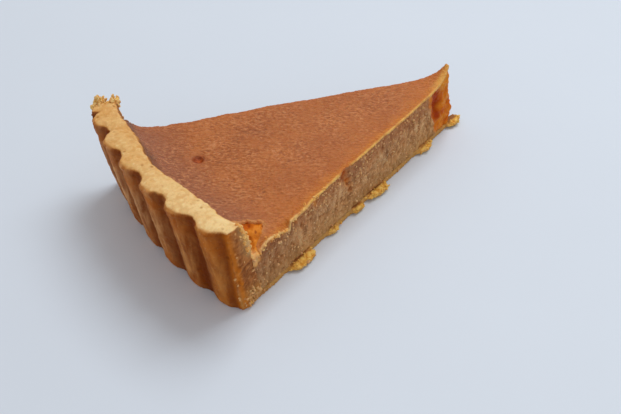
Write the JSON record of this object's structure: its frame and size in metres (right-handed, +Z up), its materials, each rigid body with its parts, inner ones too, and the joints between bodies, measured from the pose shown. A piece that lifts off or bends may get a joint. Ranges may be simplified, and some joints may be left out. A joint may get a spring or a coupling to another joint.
{
  "type": "slice of sugar pie",
  "caption": "Wedge of open sugar tart: fluted shortcrust wall, thin base and a set brown sugar filling with a glossy skin, drawn up to a torn peak at the tip.",
  "frame": {"origin": "middle of the slice's bounding box, on the flat underside", "axes": "+X from the fluted wall towards the tip, -Y towards the near cut, +Z up"},
  "size_m": [0.1304, 0.0788, 0.0332],
  "materials": {
    "crust": "baked shortcrust, matte and crumbly, pale tan on the rim and deep golden brown on the flutes",
    "filling": "set brown sugar filling, crumbly where it is cut, under a semi-gloss orange-brown skin"
  },
  "bodies": {
    "root": {"pastry_shell": "crust", "filling": "filling"}
  },
  "joints": []
}
